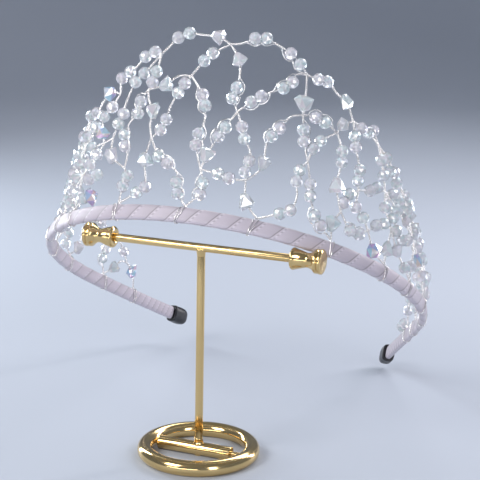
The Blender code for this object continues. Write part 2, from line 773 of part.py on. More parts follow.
def web_piece(name, strands, owner):
    """One stretch of the web: its strands, knots and foot loops joined into a solid."""
    runs = []
    used = []
    for strand in strands:
        first, last, stations = strand[0], strand[1], strand[2:]
        ends = (first,) if first == last else (first, last)
        points = [end_point(first)]
        kinds = [W]
        outs = [wall_out(end_place(first))]
        sizes = [KNOT]
        for kind, s, height in stations:
            points.append(wall_at(s, height))
            kinds.append(kind)
            outs.append(wall_out(s))
            sizes.append({B: BEAD, C: CHIP, W: 0.5}[kind])
        if first != last:
            points.append(end_point(last))
            kinds.append(W)
            outs.append(wall_out(end_place(last)))
            sizes.append(KNOT)
        spread(points, sizes)
        for end, place, inner in zip(ends, (0, -1), (1, -2)):
            if owner[end] == name:
                used.append(end)
                continue
            points[place] = points[place] + (points[inner] - points[place]).normalized() * KNOT_REACH
        runs.append(((first, "" if first == last else last), points, kinds, outs))
    chains, passed = join_strands(name, runs, owner)
    shells = [outward(skin_rings(strand_rings(*chain[1:]))) for chain in chains]
    used = sorted(set(used))
    for end in used:
        if end in KNOTS and end not in passed:
            shells.append(outward(knot_shell(wall_at(*KNOTS[end]), wall_out(KNOTS[end][0]))))
    loops = [outward(foot_loop(FEET[end])) for end in used if end in FEET]
    piece = make_object(name, *gather(shells))
    feet = hide_cutter(make_object("cut_" + name, *gather(loops)))
    add_boolean(piece, feet, "UNION", self_cross=True)
    return paint(piece, "crystal_and_wire")


def knot_owners():
    """Each knot and foot belongs to the first stretch of web that names it."""
    owner = {}
    for name, strands in WEB.items():
        for strand in strands:
            for end in strand[:2]:
                owner.setdefault(end, name)
    return owner


def main():
    empty_scene()
    stand = [stand_frame(), finial("finial_left", -1), finial("finial_right", 1)]
    headband = [ribbon_band(), tip_cap("tip_cap_left", -1), tip_cap("tip_cap_right", 1)]
    owner = knot_owners()
    for name, strands in WEB.items():
        headband.append(web_piece(name, strands, owner))
    group_under("display_stand", stand)
    group_under("headband", headband)


main()
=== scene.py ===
"""Bridal headband on its brass display stand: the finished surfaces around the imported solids.

Lengths in the tables are millimetres, and become metres when a mesh is made. +Z is up, the front of
the headband faces -Y, and the origin is the centre of the base ring on the table.
"""

import math

import bpy
import numpy as np
from mathutils import Matrix, Vector


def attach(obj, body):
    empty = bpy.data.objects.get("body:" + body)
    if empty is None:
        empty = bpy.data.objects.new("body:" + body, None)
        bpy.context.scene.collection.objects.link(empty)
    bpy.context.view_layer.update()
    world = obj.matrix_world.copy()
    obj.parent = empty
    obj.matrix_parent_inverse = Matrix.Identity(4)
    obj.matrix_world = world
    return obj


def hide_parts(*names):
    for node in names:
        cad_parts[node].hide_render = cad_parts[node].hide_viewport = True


bl_info = {
    "name": "Bridal Headband Display",
    "version": (1, 0, 0),
    "blender": (4, 5, 0),
    "location": "3D View > Sidebar > Headband",
    "description": "Builds a ribbon headband with a crystal web on a brass stand",
    "category": "Object",
}

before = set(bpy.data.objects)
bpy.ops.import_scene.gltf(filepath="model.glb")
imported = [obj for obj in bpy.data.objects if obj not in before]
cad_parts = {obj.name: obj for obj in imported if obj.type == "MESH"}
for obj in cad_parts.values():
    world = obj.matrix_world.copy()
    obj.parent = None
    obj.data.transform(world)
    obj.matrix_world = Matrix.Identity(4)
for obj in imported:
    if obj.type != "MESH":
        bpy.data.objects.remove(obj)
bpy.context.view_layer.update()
MM = 0.001
UP = np.array([0.0, 0.0, 1.0])

RING_RADIUS = 17.2
RING_TUBE = 2.5
RING_LIFT = 2.25
ROD_RADIUS = 1.3
CROSS_RADIUS = 2.15
CROSS_LEFT = 13.9
CROSS_RIGHT = 11.4
PEG_RADIUS = 0.8
BAR_HEIGHT = 68.75
BAR_HALF = 38.6
FINIAL_END = 40.2
FINIAL_BORE = 1.36
FINIAL_GAP = 0.32
SOLDER_REACH = 2.4

HOOP_RADIUS = 65.0
HOOP_SWEEP_LEFT = math.radians(111.3)
HOOP_SWEEP_RIGHT = math.radians(110.0)
HOOP_REACH = 182.0
HOOP_APEX = np.array([-0.95, -9.37, 80.64])
HOOP_YAW = math.radians(5.06)
HOOP_SLOPE = math.radians(32.7)
HOOP_ROLL = math.radians(-1.85)
HOOP_LIFT_LEFT = 4.07
HOOP_LIFT_RIGHT = 0.36
LIFT_START = 60.0
LIFT_RUN = 120.0
BAND_HALF_WIDTH = 2.5
BAND_HALF_THICK = 1.25
CORE_HALF_WIDTH = 1.9
CORE_HALF_THICK = 0.75
CORE_SHORT = 1.6
RIBBON_ROOM = 0.2
RIBBON_UNDER_TIP = 0.8
RIBBON_SIDES = 40
RIBBON_ROWS = 1500
CAP_LENGTH = 10.0
CAP_SHORT = 1.3
CAP_END = 1.2
CAP_HALF_WIDTH = 3.3
CAP_HALF_THICK = 2.4
CAP_ROOM = (2.26, 1.11)
STONE_REACH = 1.78
CHIP_REACH = 2.45
KNOT_REACH = 0.9

# The web's wall leans inward by the first for each millimetre of height, and the second for its square.
LEAN = 0.18
LEAN_SQUARE = 0.003
# Where a side leans otherwise: by how much, from what height in full, and the start and run of its
# ramps at both ends of its stretch of the hoop. The right side bulges out, the left leans in.
SIDE_LEANS = ((-2.0, 10, (68, 20), (140, -15)), (2.9, 5, (-55, -8), (-104, 8)))

# The second wire passes a bead at PASS_GAP, and leaves the path over PASS_REACH to either side. The
# twist opens from the first distance from a stone's middle, over the second.
WIRE_SIDES = 6
PATH_STEP = 0.2
PASS_GAP = 0.28
PASS_REACH = 3.0
PASS_POWER = 2.4
TWIST_OPENS = (1.5, 0.7)
LEAST_TWIST = 0.02
FOOT_HEIGHT = 0.45
FOOT_SPREAD = 0.7
FOOT_SLANT = -0.9
FOOT_SLANT_VARIES = 1.3
FOOT_THINNER = 0.7

# From RIBBON_CLOSES along the hoop, the ribbon's turns come closer by up to this share.
RIBBON_CLOSER = 1.6
RIBBON_CLOSES = (128, 45)

# Sections of a cut stone from end to end: place and half width, and a chip's half depth. A bead's are
# shares of its radius.
BEAD_SECTIONS = ((-0.88, 0.45), (-0.52, 0.86), (0, 1), (0.52, 0.86), (0.88, 0.45))
BEAD_SIDES = 9
CHIP_SECTIONS = ((-2.5, 0.7, 0.6), (-1.7, 1.7, 1.2), (1.1, 3.15, 1.85), (2.1, 1.9, 1.1))
CHIP_SIDES = 5
POLE = 0.02
BEAD_UNEVEN = 0.01
CHIP_UNEVEN = 0.12
CHIP_SWAY = 0.5
GOLDEN_ANGLE = 2.399
GOLDEN_SHARE = 0.618

# Distance from the bar's end inward, and radius, down a finial.
FINIAL_PROFILE = (
    (0.0, 3.2), (0.05, 3.6), (0.25, 3.85), (0.45, 3.9), (0.8, 3.9), (0.98, 3.8), (1.1, 3.5),
    (1.2, 3.42), (1.3, 3.5), (1.42, 3.7), (1.6, 3.78), (2.2, 3.78), (2.42, 3.68), (2.55, 3.4),
    (2.8, 3.2), (3.7, 2.62), (4.4, 2.33), (4.9, 2.25), (5.5, 2.32), (8.85, 3.3), (8.95, 3.22),
    (9.08, 3.36), (9.4, 3.46), (9.7, 3.4), (9.98, 3.18), (10.16, 2.85), (10.22, 2.4), (10.22, 1.36),
)

# Distance from the lip outward, and share of the half width and thickness, down a tip's outside.
CAP_PROFILE = (
    (8.7, 0.05), (8.65, 0.24), (8.4, 0.5), (8.0, 0.68), (7.3, 0.84), (6.4, 0.94), (5.2, 0.99),
    (3.0, 1.0), (1.2, 0.97), (0.6, 0.99), (0.25, 0.97), (0.05, 0.9), (0.0, 0.84),
)

# Where the web's feet loop round the hoop: millimetres along it from the middle, + to the right.
FEET = {
    "f_a": -148, "f_b": -130, "f_c": -107.5, "f_d": -91, "f_e": -73, "f_f": -56.5,
    "f_g": -47.5, "f_h": -25, "f_i": -1, "f_j": 21.5, "f_k": 45.8, "f_l": 68, "f_m": 84,
    "f_n": 100, "f_o": 116, "f_p": 131, "f_q": 143,
}

# Where wires are twisted together: along the hoop, and height up the web.
KNOTS = {
    "arm_low": (-142, 8.7), "arm_mid": (-136.5, 14.5), "arm_mid_b": (-129, 17.5),
    "arm_high": (-113.5, 13.5),
    "back_low": (-100, 12),
    "side_a": (-88, 11), "side_b": (-72, 11), "side_c": (-58, 11.5),
    "side_d": (-81, 22.5), "side_e": (-65.5, 22), "side_f": (-73, 30),
    "left_low": (-47, 11), "left_mid": (-37.5, 20.3), "left_in": (-50, 21),
    "left_up": (-57, 31), "left_top": (-36.4, 35.5),
    "front_a": (-20, 45.3), "front_b": (-21.7, 34.8), "front_c": (-33.4, 21.2),
    "front_d": (-24.8, 11.2),
    "mid_a": (-15.9, 20.2), "mid_b": (-4, 38.7), "mid_c": (3.1, 11.9), "mid_d": (11, 49.3),
    "mid_e": (14.7, 30.4), "mid_f": (17.8, 10.9),
    "right_a": (44.9, 48.8), "right_b": (40, 35.7), "right_c": (39.6, 22),
    "right_d": (50.5, 10.5), "right_e": (60, 20.2), "right_f": (61.7, 8.5),
    "right_g": (66.4, 43.3), "right_h": (54.6, 35.4),
    "flank_a": (80.5, 42), "flank_b": (75.5, 25.5), "flank_c": (74.5, 13.5),
    "flank_d": (92, 33), "flank_e": (89, 17.5), "flank_f": (104, 28.5),
    "flank_g": (103, 12.5), "flank_h": (117, 21), "flank_i": (129, 11.5),
}

# Kinds of station on a strand. U, D, L and R are beads whose second wire passes outside them, above,
# below, to the left or to the right; B and C are strung on both wires; W is a bend in the bare twist.
B = "bead"
U = "bead, wire above"
D = "bead, wire below"
L = "bead, wire at left"
R = "bead, wire at right"
C = "chip"
V = "vivid chip"
W = "bend"

# Half the room that a station needs along its strand, where that isn't a bead's.
REACH = {C: CHIP_REACH, V: CHIP_REACH, W: 0.5}

# Each strand: its two ends, then its stones and bends, each along the hoop and up the web. One with
# no kind is a bead strung on both wires.
WEB = {}
WEB["web_left_arm"] = (
    ("f_a", "arm_low", (V, -146, 6.3)),
    ("arm_low", "f_b", (W, -138.6, 8.2), (C, -135.3, 4.6)),
    ("arm_low", "arm_mid", (-139.2, 12.3)),
    ("f_b", "arm_mid_b", (R, -128.3, 6), (R, -129.3, 10.2), (W, -129.3, 13.5)),
    ("arm_mid", "arm_mid_b", (W, -133, 17)),
    ("arm_mid_b", "arm_high", (-123.5, 18.5), (-118.7, 17)),
    ("f_c", "arm_high", (C, -113, 4.9)),
    ("f_c", "back_low", (-102.2, 2.9), (-100, 6.4)),
)
WEB["web_left_side"] = (
    ("f_d", "side_a", (-90, 5.6)),
    ("f_e", "side_b", (-73.2, 5.4)),
    ("f_f", "side_c", (-57.2, 5.6)),
    ("side_a", "side_b", (-82.5, 9.3), (-77.5, 9.6)),
    ("side_b", "side_c", (-67, 10), (-62.5, 11.5)),
    ("side_a", "side_d", (-87, 17)),
    ("side_c", "side_e", (-60.7, 16.5)),
    ("side_d", "side_e", (-77, 20.5), (-71.5, 21.5)),
    ("side_d", "side_f", (-78.5, 26.4)),
    ("side_e", "side_f", (-67.5, 26.4)),
    ("side_a", "back_low", (-95, 10)),
    ("side_d", "back_low", (-89.5, 23.5), (-95.5, 20)),
    ("side_f", "side_f", (-77.2, 32), (-81.2, 32.6)),
    ("side_d", "back_low", (-84.6, 27.4), (-88.8, 29.2), (C, -95.8, 27), (-100.8, 21), (-101.2, 17)),
    ("side_b", "side_e", (-71.6, 15), (-68.4, 17.8)),
    ("side_b", "side_d", (-75.8, 14.4), (C, -79.6, 17.4)),
    ("f_d", "f_e", (-85.2, 3.4), (-81.4, 4.8), (-77.6, 3.4)),
    ("f_f", "f_e", (-61.8, 4), (-65.2, 5.6), (-68.8, 3.8)),
    ("side_e", "side_f", (-63, 24.2), (-62.6, 28.4), (-67, 30.8)),
)
WEB["web_left_front"] = (
    ("f_g", "left_low", (-47.2, 5.6)),
    ("left_low", "left_in", (-51, 16)),
    ("left_low", "left_low", (-42, 9.4), (-37.4, 10.2)),
    ("left_low", "left_mid", (-43.2, 14.2), (-40.3, 17)),
    ("left_mid", "left_in", (-44.8, 20)),
    ("left_in", "left_up", (-55, 25.7)),
    ("left_mid", "left_top", (V, -40.3, 23.8), (-42.7, 29.4), (-38.9, 31.6)),
    ("left_top", "left_up", (V, -44.2, 37), (-49.7, 32)),
    ("left_in", "left_in", (-46.4, 26.8)),
    ("left_low", "left_in", (-51.2, 11.4), (-55, 13.4), (C, -55.6, 18.6)),
    ("f_g", "left_low", (-51.8, 3.4), (-51.6, 7.4)),
    ("f_g", "f_g", (-43.2, 3.4), (V, -38.2, 3.6)),
    ("left_in", "left_up", (-50.8, 24.4), (W, -52.6, 28.6)),
    ("left_up", "left_up", (-55.4, 32.4)),
)
WEB["web_front_left"] = (
    ("f_h", "front_d", (-24.2, 5.7), (-22.9, 8.7)),
    ("front_d", "front_b", (W, -24.6, 15.2), (R, -26.6, 18.4), (R, -27.8, 21.4), (W, -26.6, 25.4),
        (L, -23.8, 27.9), (L, -23.9, 31.4)),
    ("f_h", "mid_a", (-18.4, 3.6), (-15.3, 5.4), (C, -17, 13.6)),
    ("mid_a", "front_b", (W, -17.5, 24.3), (C, -17.4, 28.3), (W, -20.4, 31.8)),
    ("front_b", "front_a", (-20.7, 37), (-20, 39.9)),
    ("front_a", "left_top", (-23.6, 46.3), (-28.4, 45.4), (W, -31.4, 43), (-34.8, 41.9), (-39, 40.6)),
    ("front_a", "front_c", (-26, 40.2), (-29.6, 37.9), (W, -31.4, 31.2), (-31, 28.4), (-32.4, 25.5)),
    ("front_c", "front_d", (C, -32, 15.6)),
    ("front_c", "left_mid"),
)
WEB["web_front_middle"] = (
    ("front_a", "mid_d", (W, -16.8, 47.4), (-13.6, 49.9), (-8.4, 51.1), (W, -3, 50.8), (C, 5.2, 50.7)),
    ("f_i", "mid_a", (R, -3.9, 4.1), (R, -4.6, 7.2), (W, -4.9, 10.4), (U, -8.4, 12.7), (U, -12, 14.6)),
    ("mid_a", "mid_b", (-12.7, 22.6), (-11.2, 25.7), (W, -10.6, 29.2), (-8.3, 33.6), (-6.3, 36.4)),
    ("mid_b", "mid_d", (0.4, 43.4), (3.6, 45.8)),
    ("f_i", "mid_c", (L, 3.5, 4.7), (L, 4.2, 7.8)),
    ("mid_c", "mid_b", (R, 0.8, 18.9), (R, 1.4, 22.2), (W, 3.1, 26.2), (L, 2.9, 30.6), (L, 1.5, 33.6)),
    ("mid_b", "front_b", (W, -9.4, 38.5), (C, -14.2, 36)),
    ("mid_c", "mid_e", (C, 4.9, 16.4), (U, 8.4, 22.2), (U, 10.8, 25.2)),
    ("mid_d", "mid_e", (C, 14.9, 45.6), (W, 15.3, 41), (R, 14.2, 37.2), (R, 12.7, 34)),
    ("mid_e", "mid_f", (16.4, 26.3), (17.3, 23.1), (W, 19.2, 19.9), (18.9, 16.7), (17.7, 13.5)),
    ("mid_c", "mid_f", (9, 11.3), (12.5, 10.6)),
    ("mid_f", "f_j", (C, 18, 4.7)),
)
WEB["web_front_right"] = (
    ("mid_d", "right_a", (W, 16, 50.3), (D, 22, 53), (D, 27.4, 54.3), (W, 32.8, 53.6), (D, 38.4, 53),
        (D, 42.6, 51.2)),
    ("mid_e", "right_a", (D, 19.8, 34.2), (D, 23.6, 36.6), (W, 28.5, 39.2), (U, 33, 41.4),
        (U, 37.1, 44.2), (W, 40.2, 47.5)),
    ("mid_f", "right_b", (W, 21.6, 14), (C, 23.8, 17.2), (W, 24.8, 22.6), (L, 27.1, 26),
        (L, 29.9, 28.8), (W, 34.6, 33.4)),
    ("f_j", "right_c", (28.6, 3.6), (32.3, 5.6), (W, 34.6, 10), (34.9, 15), (36.2, 18.2)),
    ("right_c", "right_b", (R, 38.8, 27.6), (R, 39.2, 31.1)),
    ("right_b", "right_a", (C, 41.2, 39.4), (W, 43, 43.8)),
    ("right_b", "right_h", (U, 45.4, 36.6), (U, 49.4, 36.5)),
    ("right_h", "right_g", (C, 58.4, 39)),
    ("right_c", "right_h", (42.7, 26.9), (45.5, 29.6)),
    ("f_k", "right_c", (L, 42.3, 4), (L, 40.6, 6.3), (39.4, 11.7), (39.7, 15.3)),
    ("f_k", "right_d", (C, 46.7, 5.8)),
    ("right_d", "right_h", (C, 50.1, 18.2), (54.2, 26.6), (55.2, 30.1)),
    ("right_d", "right_e", (52.6, 14.2), (55, 17)),
    ("right_d", "right_f", (U, 53.6, 5.9), (U, 57.2, 6)),
    ("right_f", "right_e", (60.2, 12), (57.4, 14.2)),
    ("right_e", "right_g", (60.9, 23.7), (62.6, 26.9), (63.4, 34.6), (64.6, 37.9)),
    ("right_a", "right_g", (50.8, 49.6), (56, 50.9), (W, 60.8, 48.8), (C, 65.8, 49)),
)
WEB["web_right_side"] = (
    ("f_l", "flank_c", (C, 70.5, 5.9)),
    ("right_f", "flank_c", (66.8, 12), (70.5, 13.8)),
    ("right_e", "flank_b", (67, 22.8), (70.5, 24.8)),
    ("flank_c", "flank_b", (73.3, 20)),
    ("right_g", "flank_a", (71.2, 43.2), (75.4, 43.6)),
    ("flank_a", "flank_b", (79.2, 36.8), (77.3, 31.3)),
    ("flank_a", "flank_d", (85, 40), (88.8, 37)),
    ("flank_b", "flank_e", (81, 22.3)),
    ("flank_c", "flank_e", (80, 12.3), (84.2, 13.8)),
    ("flank_d", "flank_e", (90.8, 25.3)),
    ("f_m", "flank_e", (84.8, 5.6), (W, 87, 11)),
    ("right_f", "f_l", (V, 63.2, 3)),
    ("f_m", "flank_c", (80.4, 3.6), (C, 76, 7.4)),
    ("flank_b", "flank_c", (77.2, 18.2), (77.6, 14.4)),
    ("flank_b", "flank_e", (80.6, 26.8), (84.6, 26.4), (C, 86.2, 21)),
    ("flank_a", "flank_d", (84, 35.4), (87.4, 33)),
    ("flank_a", "flank_a", (80.8, 46.6)),
    ("flank_d", "flank_e", (C, 96.2, 26.4), (95.8, 21.4), (92.8, 19)),
    ("flank_e", "f_n", (V, 90.6, 9.8), (95.4, 6.2)),
)
WEB["web_right_arm"] = (
    ("flank_d", "flank_f", (96, 32.5), (100, 31.3)),
    ("flank_e", "flank_g", (94, 15), (98.2, 13.2)),
    ("f_n", "flank_g", (101, 6)),
    ("flank_f", "flank_h", (C, 110.3, 26)),
    ("flank_g", "flank_h", (108.5, 15.6)),
    ("f_o", "flank_h", (116.2, 6), (116.8, 13)),
    ("flank_h", "flank_i", (121.4, 17.3), (125, 14.6)),
    ("f_p", "flank_i", (130.5, 5.2)),
    ("flank_i", "f_q", (134.5, 9), (138.5, 6)),
    ("flank_f", "flank_g", (103.6, 23.2), (102.2, 19.4)),
    ("flank_f", "flank_f", (105.8, 31.8)),
    ("flank_g", "f_o", (106.8, 9.4), (C, 110.6, 5.6)),
    ("flank_h", "f_p", (121.6, 11.6), (124.8, 8.4)),
    ("f_q", "f_q", (146.8, 3), (150.8, 2.6)),
)

# Place and colour along the ramp of a stone's tint, and of a vivid chip's facets.
WHITE = (1.0, 1.0, 1.0)
CRYSTAL_TINTS = (
    (0.0, WHITE), (0.16, (0.82, 0.98, 1.0)), (0.3, WHITE), (0.55, (0.93, 0.91, 1.0)), (0.68, WHITE),
    (0.84, (1.0, 0.9, 0.97)), (1.0, (0.9, 1.0, 0.97)),
)
VIVID_TINTS = (
    (0.0, WHITE), (0.2, (0.25, 0.85, 1.0)), (0.45, (0.3, 0.4, 1.0)), (0.7, (0.95, 0.35, 0.85)),
    (0.85, (1.0, 0.65, 0.35)), (1.0, WHITE),
)

# Across the ribbon from edge to edge: place and share of its colour, with painted shade in the crease at
# each seam and a painted highlight on the raised edge, then the lane of the selvedge.
SATIN_PAINTED_SHADE = ((0.0, 0.5), (0.02, 1.06), (0.12, 1.06), (0.5, 1.0), (0.93, 0.92), (0.975, 0.5))
SELVEDGE_LANE = ((0.0, 0), (0.09, 0), (0.12, 1), (0.17, 1), (0.2, 0))
SELVEDGE_DOTS = 88.0
THREADS_ACROSS = 190.0
THREADS_AROUND = 430.0

CAMERA_AZIMUTH = math.radians(22.3)
CAMERA_ELEVATION = math.radians(13.7)
CAMERA_ROLL = math.radians(1.13)
CAMERA_DISTANCE = 459.7
CAMERA_SHIFT = (12.0, 11.06)
CAMERA_TARGET = np.array([0.0, 0.0, 60.0])
CAMERA_LENS = 110.4

FLOOR_FLAT = 800.0
FLOOR_CURVE = 500.0
FLOOR_WALL = 900.0

LIGHT_TARGET = (0, 20, 75)
# Name, place, size across and up, power in watts, colour.
LIGHTS = (
    ("key", (-330, -520, 520), (300, 300), 3.2, (1.0, 0.99, 0.97)),
    ("fill", (520, -420, 260), (160, 380), 1.2, (0.95, 0.97, 1.0)),
    ("back", (60, 520, 520), (500, 200), 1.5, (0.97, 0.98, 1.0)),
    ("low_strip", (-60, -560, 90), (600, 40), 0.6, (1.0, 1.0, 1.0)),
    ("left_strip", (-460, 190, 180), (70, 420), 1.7, (0.92, 0.97, 1.0)),
    ("right_strip", (330, 430, 260), (70, 420), 1.7, (1.0, 0.96, 0.98)),
)


class HeadbandLook(bpy.types.PropertyGroup):
    """Sizes and colours that a user would change."""

    ribbon_turn: bpy.props.FloatProperty(
        name="Ribbon turn",
        description="Distance between neighbouring edges of the wound ribbon",
        default=6.5 * MM,
        unit="LENGTH",
    )
    ribbon_colour: bpy.props.FloatVectorProperty(
        name="Ribbon colour",
        description="Colour of the satin where the light falls straight on it",
        default=(0.57, 0.51, 0.575),
        subtype="COLOR",
    )
    wire_radius: bpy.props.FloatProperty(
        name="Wire radius",
        description="Half the thickness of one wire of a twist",
        default=0.19 * MM,
        unit="LENGTH",
    )
    wire_twist: bpy.props.FloatProperty(
        name="Twist length",
        description="Distance in which two twisted wires turn once round each other",
        default=1.6 * MM,
        unit="LENGTH",
    )
    wire_colour: bpy.props.FloatVectorProperty(
        name="Wire colour",
        description="Colour of the bright wire",
        default=(0.93, 0.9, 0.88),
        subtype="COLOR",
    )
    bead_radius: bpy.props.FloatProperty(
        name="Bead radius",
        description="Half the width of a faceted bead",
        default=2.03 * MM,
        unit="LENGTH",
    )
    brass_colour: bpy.props.FloatVectorProperty(
        name="Brass colour",
        description="Colour of the polished stand",
        default=(0.74, 0.54, 0.25),
        subtype="COLOR",
    )


def look():
    """The settings that the panel shows."""
    return bpy.context.scene.headband_look


def unit(vectors):
    return vectors / np.maximum(np.linalg.norm(vectors, axis=-1, keepdims=True), 1e-9)


def ramp(values, start, run):
    """0 up to start, 1 from start + run on, and a straight line between; a run below 0 mirrors it."""
    return np.clip((values - start) / run, 0, 1)


def square_to(along, reference):
    """Two unit directions square to along and to each other, the first also square to the reference."""
    side = unit(np.cross(reference, along))
    return side, np.cross(along, side)


def turns(sides):
    """Angles that go once round a circle."""
    return 2 * math.pi * np.arange(sides) / sides


def oblong(turn, power):
    """A circle's cosine and sine, and the factor that pulls it out to a rounded oblong of the power."""
    wide, thick = np.cos(turn), np.sin(turn)
    return wide, thick, (np.abs(wide) ** power + np.abs(thick) ** power) ** (-1 / power)


def hoop_axes():
    """Unit axes of the hoop: to the right, from the front towards the tips, and square to its plane."""
    level = np.array([math.cos(HOOP_YAW), math.sin(HOOP_YAW), 0])
    rear = np.array([-math.sin(HOOP_YAW), math.cos(HOOP_YAW), 0])
    right = level * math.cos(HOOP_ROLL) + UP * math.sin(HOOP_ROLL)
    over = np.cross(right, rear)
    back = rear * math.cos(HOOP_SLOPE) - over * math.sin(HOOP_SLOPE)
    return right, back, np.cross(right, back)


def hoop_at(s):
    """Middle line of the hoop at distances s: a round front of one radius, then two straight arms.

    Past LIFT_START it also rises square to its plane, by the square of the distance.
    Returns points, directions along the hoop, and directions inward in its plane.
    """
    right, back, square = hoop_axes()
    s = np.asarray(s, float)
    far = np.abs(s)
    sign = np.where(s < 0, -1.0, 1.0)
    sweep = np.where(s < 0, HOOP_SWEEP_LEFT, HOOP_SWEEP_RIGHT)
    turn = np.minimum(far / HOOP_RADIUS, sweep)
    straight = np.maximum(far - HOOP_RADIUS * sweep, 0)
    x = HOOP_RADIUS * np.sin(turn) + straight * np.cos(turn)
    y = HOOP_RADIUS * (1 - np.cos(turn)) + straight * np.sin(turn)
    rise = np.where(s < 0, HOOP_LIFT_LEFT, HOOP_LIFT_RIGHT)
    lift = rise * np.maximum((far - LIFT_START) / LIFT_RUN, 0) ** 2
    point = HOOP_APEX + (sign * x)[..., None] * right + y[..., None] * back
    point = point + lift[..., None] * square
    along = np.cos(turn)[..., None] * right + (sign * np.sin(turn))[..., None] * back
    return point, along, np.cross(square, along)


def level_in(s):
    """Level directions that point inward from the hoop."""
    inward = hoop_at(s)[2]
    return unit(inward - inward[..., 2:3] * UP)


def wall_at(s, height):
    """Points of the web: straight up from the hoop, leaning inward by a h + b h squared.

    The sides differ from that by SIDE_LEANS, each over its own stretch of the hoop.
    """
    s = np.asarray(s, float)
    height = np.asarray(height, float)
    lean = LEAN * height + LEAN_SQUARE * height * np.abs(height)
    for depth, full_height, near, far in SIDE_LEANS:
        reach = ramp(s, *near) * ramp(s, *far)
        lean = lean + depth * reach * ramp(height, 0, full_height)
    base = hoop_at(s)[0] + hoop_axes()[2] * BAND_HALF_WIDTH
    return base + height[..., None] * UP + lean[..., None] * level_in(s)


def end_station(name):
    """Along the hoop and up the web, of a foot or a knot."""
    return (FEET[name], FOOT_HEIGHT) if name in FEET else KNOTS[name]


def spread(points, sizes, rounds=60):
    """Pushes a strand's stones apart until they no longer run into each other; its ends stay."""
    last = len(points) - 1
    for _ in range(rounds):
        for k in range(last):
            between = points[k + 1] - points[k]
            run = np.linalg.norm(between)
            short = sizes[k] + sizes[k + 1] - run
            if short <= 0 or run < 1e-6 or last == 1:
                continue
            push = between / run * short
            share = 1.0 if k == 0 else 0.0 if k + 1 == last else 0.5
            points[k + 1] += push * share
            points[k] -= push * (1 - share)


def smooth_path(points, values, step):
    """A curve through the points (Catmull-Rom: each span is the cubic whose slopes are half the chord
    between its neighbours), sampled about every step, with values carried along the same way."""
    knots = np.hstack([points, values])
    knots = np.vstack([2 * knots[0] - knots[1], knots, 2 * knots[-1] - knots[-2]])
    spans = []
    marks = [0]
    for k in range(1, len(knots) - 2):
        a, b, c, d = knots[k - 1:k + 3]
        run = np.linalg.norm((c - b)[:3])
        count = max(2, int(math.ceil(run / step)))
        t = (np.arange(count) / count)[:, None]
        slope_b = (c - a) / 2 * min(1, run / max(np.linalg.norm((b - a)[:3]), 1e-6)) ** 0.5
        slope_c = (d - b) / 2 * min(1, run / max(np.linalg.norm((d - c)[:3]), 1e-6)) ** 0.5
        spans.append(
            b * (2 * t**3 - 3 * t**2 + 1)
            + slope_b * (t**3 - 2 * t**2 + t)
            + c * (3 * t**2 - 2 * t**3)
            + slope_c * (t**3 - t**2)
        )
        marks.append(marks[-1] + count)
    whole = np.vstack([*spans, knots[-2]])
    return whole[:, :3], whole[:, 3:], np.array(marks)


class Shells:
    """Collects closed surfaces, each a grid of points, into the arrays of one mesh."""

    def __init__(self):
        self.points = []
        self.faces = []
        self.count = 0

    def add(self, points, faces):
        """Takes over points, and faces that number them from the first point of the mesh."""
        self.faces.extend(faces.tolist())
        self.points.append(points)
        self.count += len(points)

    def tube(self, path, reference, radius):
        """A circle of the radius carried along the path; reference is any direction across it."""
        tangent = unit(np.gradient(path, axis=0))
        side, over = square_to(tangent, reference)
        turn = turns(WIRE_SIDES)[:, None]
        ring = side[:, None] * np.cos(turn) + over[:, None] * np.sin(turn)
        self.grid(path[:, None] + radius * ring, path[0], path[-1])

    def grid(self, rings, first=None, last=None, loop=False):
        """Quads between neighbouring rings, with a fan to a middle point at each open end."""
        rows, sides = rings.shape[:2]
        index = self.count + np.arange(rows * sides).reshape(rows, sides)
        if loop:
            index = np.vstack([index, index[:1]])
        beside = np.roll(index, -1, axis=1)
        quads = np.stack([index[:-1], beside[:-1], beside[1:], index[1:]], axis=-1)
        self.add(rings.reshape(-1, 3), quads.reshape(-1, 4))
        for ring, pole, near in ((index[0], first, True), (index[-1], last, False)):
            if pole is None:
                continue
            beyond = np.roll(ring, -1)
            fan = (beyond, ring) if near else (ring, beyond)
            middle = np.full(sides, self.count)
            self.add(np.asarray(pole, float)[None], np.stack([*fan, middle], axis=-1))

    def copies(self, points, faces):
        """Many equal stones: points is stones by corners by 3, faces one stone's triangles."""
        stones, corners = points.shape[:2]
        start = self.count + corners * np.arange(stones)
        self.add(points.reshape(-1, 3), (faces + start[:, None, None]).reshape(-1, 3))

    def build(self, name, smooth=True):
        """The mesh object, in metres."""
        mesh = bpy.data.meshes.new(name)
        mesh.from_pydata(np.vstack(self.points) * MM, [], self.faces)
        mesh.validate()
        if smooth:
            mesh.shade_smooth()
        else:
            mesh.shade_flat()
        thing = bpy.data.objects.new(name, mesh)
        bpy.context.scene.collection.objects.link(thing)
        return thing


def add_values(thing, name, values, domain):
    """A number for each point or face, which the material reads by name."""
    layer = thing.data.attributes.new(name, "FLOAT", domain)
    layer.data.foreach_set("value", np.asarray(values, np.float32))


def finish_piece(thing, material, slot, *nodes):
    """Gives a piece its material, the body it rides on, and the solids it replaces; its slot is not used.
    """
    thing.data.materials.append(material)
    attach(thing, "root")
    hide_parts(*nodes)


def strand_stations(strand):
    """Control points, kinds, and directions outward and along the hoop, of a strand's stations.

    Its stones are pushed apart. A strand that starts and ends at the same place has a free end.
    """
    first, last, *middle = strand
    middle = [station if len(station) == 3 else (B, *station) for station in middle]
    stations = [end_station(first)] + [station[1:] for station in middle]
    kinds = [W] + [station[0] for station in middle]
    sizes = [KNOT_REACH] + [REACH.get(kind, STONE_REACH) for kind in kinds[1:]]
    if last != first:
        stations.append(end_station(last))
        kinds.append(W)
        sizes.append(KNOT_REACH)
    s, height = np.array(stations, float).T
    points = wall_at(s, height)
    spread(points, sizes)
    return points, kinds, -level_in(s), hoop_at(s)[1]


